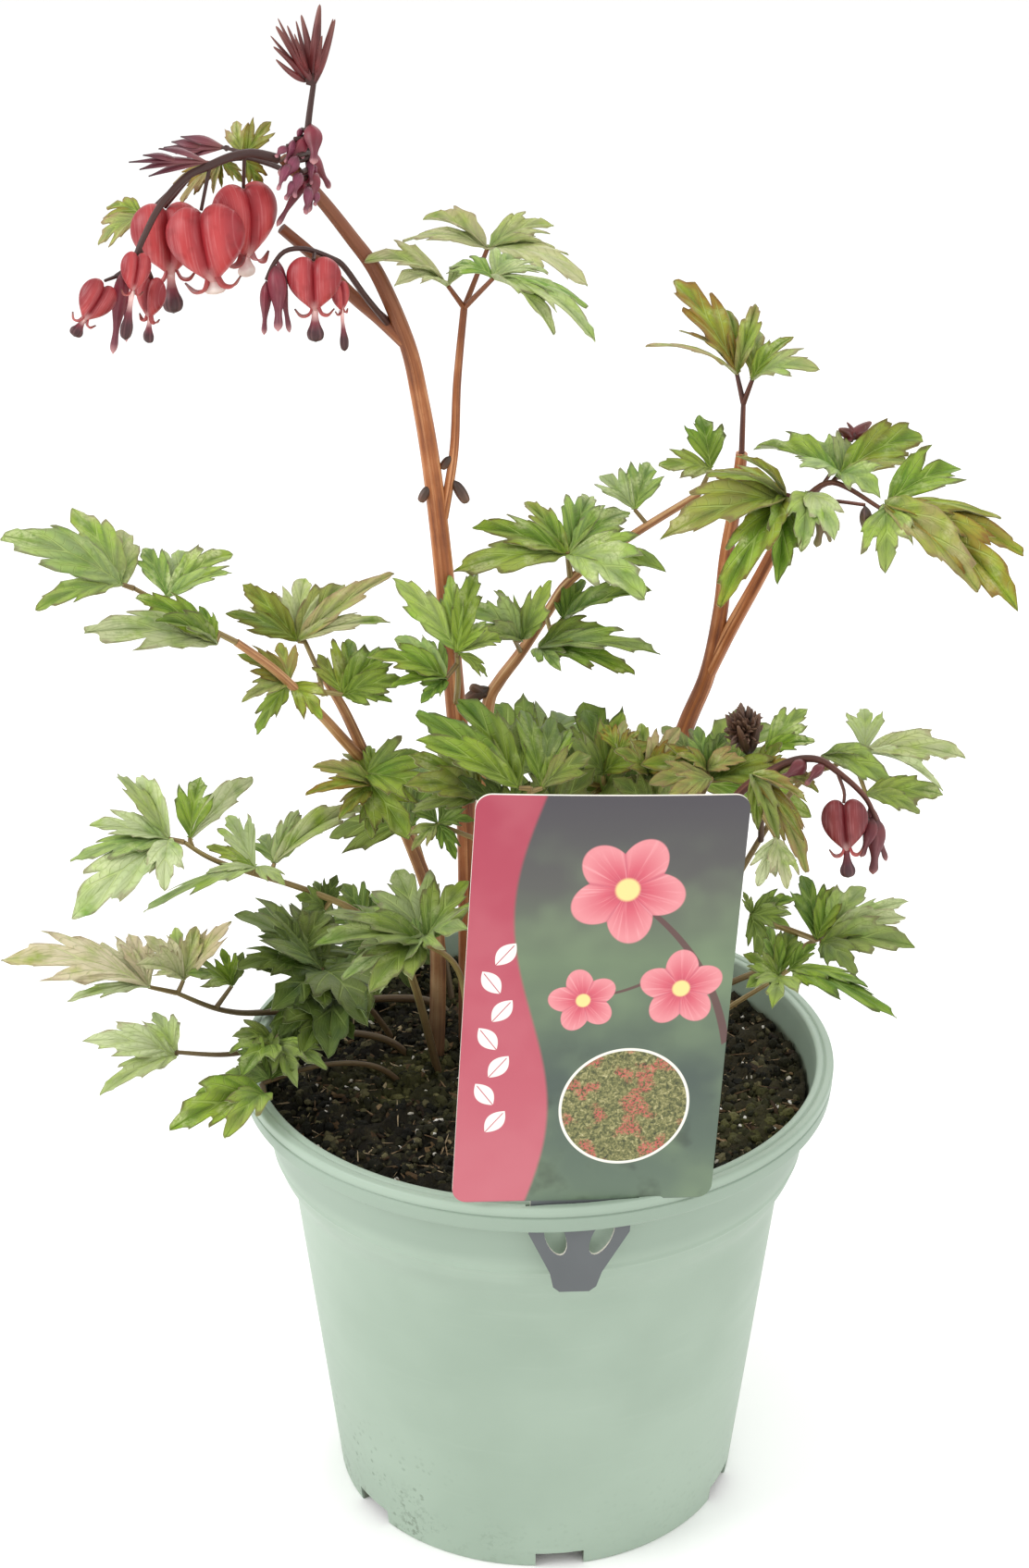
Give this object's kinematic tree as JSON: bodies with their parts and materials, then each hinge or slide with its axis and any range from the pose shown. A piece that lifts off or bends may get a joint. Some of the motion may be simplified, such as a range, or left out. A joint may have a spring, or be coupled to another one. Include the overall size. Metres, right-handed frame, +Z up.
{
  "type": "potted bleeding heart plant",
  "caption": "Flowering bleeding heart in a nursery pot: arching stalks of pink heart blooms, lobed leaflets on reddish stems, dark soil, and a plain picture label that stands on the rim.",
  "frame": {"origin": "centre of the pot's underside, in the plane that the pot stands on", "axes": "+Z up along the pot's axis, -Y towards the label at the front, +X to the right seen from the front"},
  "size_m": [0.2772, 0.2032, 0.428],
  "materials": {
    "pot": "soft satin moulded plastic, sage green",
    "soil": "crumbly peat and bark mix",
    "label": "smooth printed plastic sheet",
    "stem": "fleshy, satin, orange-brown",
    "leaf": "matt green leaf with bronze edges",
    "bud": "fleshy, satin, dark pink",
    "dry_tuft": "dry, matt, brown",
    "bloom": "waxy satin petals, cherry red"
  },
  "bodies": {
    "root": {"shoot_tall": "stem", "shoot_middle": "stem", "shoot_right": "stem", "shoot_left": "stem", "leaf_tall": "leaf", "leaf_bronze": "leaf", "leaf_right_inner": "leaf", "leaf_middle_far": "leaf", "leaf_right": "leaf", "leaf_middle_top": "leaf", "leaf_middle_right": "leaf", "leaf_middle_left": "leaf", "leaf_tall_low": "leaf", "leaf_left_far": "leaf", "leaf_left_cluster": "leaf", "leaf_left_knee": "leaf", "leaf_low_left_a": "leaf", "leaf_low_left_b": "leaf", "leaf_low_left_c": "leaf", "leaf_rim_left": "leaf", "leaf_low_dark": "leaf", "leaf_low_centre": "leaf", "leaf_row_left": "leaf", "leaf_row_middle": "leaf", "leaf_row_right": "leaf", "leaf_right_small": "leaf", "leaf_right_far": "leaf", "raceme_right": "bud", "leaf_label_right": "leaf", "leaf_low_right_a": "leaf", "leaf_low_right_b": "leaf", "leaf_back_left": "leaf", "leaf_back": "leaf", "leaf_back_right": "leaf", "leaf_flower_stalk": "leaf", "raceme_tall": "bud", "raceme_branch": "bud", "raceme_far_right": "bud", "tuft_top": "bud", "tuft_dry": "dry_tuft", "tuft_red": "bud", "bloom_left": "bloom", "bloom_front": "bloom", "bloom_right": "bloom", "bloom_long": "bloom", "bloom_small": "bloom", "bloom_end": "bloom", "bloom_branch": "bloom", "bloom_branch_long": "bloom", "bloom_low": "bloom", "pot": "pot", "soil": "soil", "label": "label"}
  },
  "joints": []
}
